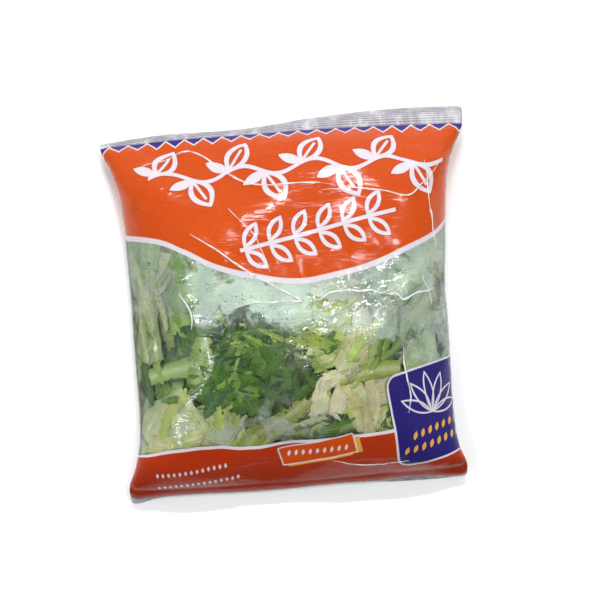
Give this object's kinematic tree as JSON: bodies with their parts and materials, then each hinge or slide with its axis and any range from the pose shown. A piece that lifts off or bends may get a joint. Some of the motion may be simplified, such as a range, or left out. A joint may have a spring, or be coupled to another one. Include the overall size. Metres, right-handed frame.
{
  "type": "sealed bag of salad leaves",
  "caption": "Sealed pillow bag of cut salad leaves, lying flat with its printed side up, its ends closed by crimped seals.",
  "frame": {"origin": "on the table, below the middle of the bag's box", "axes": "+Z away from the table, the shortest way through the bag; +Y up the print towards the top seal; +X to the right across the print"},
  "size_m": [0.2602, 0.2734, 0.0622],
  "materials": {
    "printed_film": "thin glossy film, printed in orange, violet, white and gold round a clear window",
    "salad_leaves": "moist cut leaves, satin, green to pale yellow-green with cream ribs"
  },
  "bodies": {
    "root": {"salad_bag": "printed_film"}
  },
  "joints": []
}
